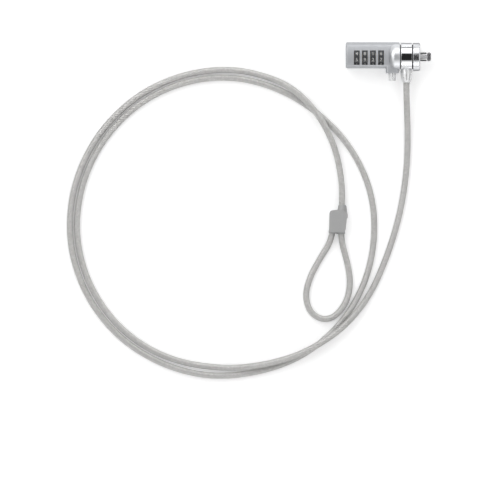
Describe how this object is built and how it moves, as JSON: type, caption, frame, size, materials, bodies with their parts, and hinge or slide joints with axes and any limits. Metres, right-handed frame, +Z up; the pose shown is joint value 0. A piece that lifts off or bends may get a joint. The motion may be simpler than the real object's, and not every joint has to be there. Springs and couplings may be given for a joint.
{
  "type": "laptop cable lock",
  "caption": "Combination cable lock for a laptop: dial housing with a swivelling T-bar head and a coated steel cable that ends in an eye.",
  "frame": {"origin": "on the lock's axis, at the nose face that meets the computer's case", "axes": "+X out of the nose along the T-bar; +Z up, the way the dials face; +Y away from the cable's outlet"},
  "size_m": [0.2497, 0.2309, 0.0196],
  "materials": {
    "satin_zinc": "satin",
    "chrome": "polished",
    "satin_chrome": "satin",
    "bright_nickel": "satin",
    "steel": "satin",
    "dark_steel": "satin",
    "spring_steel": "satin",
    "brass": "satin",
    "soft_aluminium": "satin",
    "black_nylon": "matte",
    "dial_black": "satin",
    "grey_plastic": "satin",
    "clear_jacket_cable": "gloss"
  },
  "bodies": {
    "cable_end": {"swivel_ring": "chrome", "cable_ferrule": "bright_nickel", "cable_anchor": "steel", "security_cable": "clear_jacket_cable", "loop_sleeve": "grey_plastic", "loop_crimp": "soft_aluminium"},
    "lock": {"lock_housing": "satin_zinc", "end_cap": "satin_zinc", "bottom_cover": "satin_zinc", "cover_rivets": "steel", "front_collar": "chrome", "swivel_barrel": "steel", "nose_ring": "satin_chrome", "nose_pin": "steel", "guard_plate": "dark_steel", "rear_washer": "black_nylon", "front_washer": "black_nylon", "core_tube": "brass", "locking_bar": "steel", "detent_spring": "spring_steel", "return_spring": "spring_steel"},
    "t_bar": {"t_bar_spindle": "dark_steel", "drive_pinion": "brass", "retaining_clip": "spring_steel"},
    "button": {"push_button": "bright_nickel", "button_rack": "brass"},
    "reset": {"reset_screw": "steel"},
    "dial_1": {"dial_1": "dial_black", "code_wheel_1": "brass"},
    "dial_2": {"dial_2": "dial_black", "code_wheel_2": "brass"},
    "dial_3": {"dial_3": "dial_black", "code_wheel_3": "brass"},
    "dial_4": {"dial_4": "dial_black", "code_wheel_4": "brass"}
  },
  "joints": [
    {"name": "head_swivel", "type": "hinge", "parent": "cable_end", "child": "lock", "pos_m": [0, 0, 0], "axis": [-1, 0, 0], "continuous": true},
    {"name": "t_bar_turn", "type": "hinge", "parent": "lock", "child": "t_bar", "pos_m": [0, 0, 0], "axis": [1, 0, 0], "range_deg": [0, 90], "deforming": ["return_spring", "locking_bar"]},
    {"name": "button_press", "type": "slide", "parent": "lock", "child": "button", "axis": [0, 1, 0], "range_m": [0, 0.00393], "stiffness_N_per_m": 150, "deforming": ["return_spring", "locking_bar"]},
    {"name": "reset_turn", "type": "hinge", "parent": "lock", "child": "reset", "pos_m": [-0.05, 0, 0], "axis": [-1, 0, 0], "range_deg": [0, 90]},
    {"name": "dial_1_turn", "type": "hinge", "parent": "lock", "child": "dial_1", "pos_m": [-0.0434, 0, 0], "axis": [1, 0, 0], "continuous": true, "deforming": ["detent_spring"]},
    {"name": "dial_2_turn", "type": "hinge", "parent": "lock", "child": "dial_2", "pos_m": [-0.03787, 0, 0], "axis": [1, 0, 0], "continuous": true, "deforming": ["detent_spring"]},
    {"name": "dial_3_turn", "type": "hinge", "parent": "lock", "child": "dial_3", "pos_m": [-0.03234, 0, 0], "axis": [1, 0, 0], "continuous": true, "deforming": ["detent_spring"]},
    {"name": "dial_4_turn", "type": "hinge", "parent": "lock", "child": "dial_4", "pos_m": [-0.0268, 0, 0], "axis": [1, 0, 0], "continuous": true, "deforming": ["detent_spring"]}
  ],
  "couplings": [
    {"joint": "t_bar_turn", "follows": "button_press", "rad_per_m": 400}
  ]
}
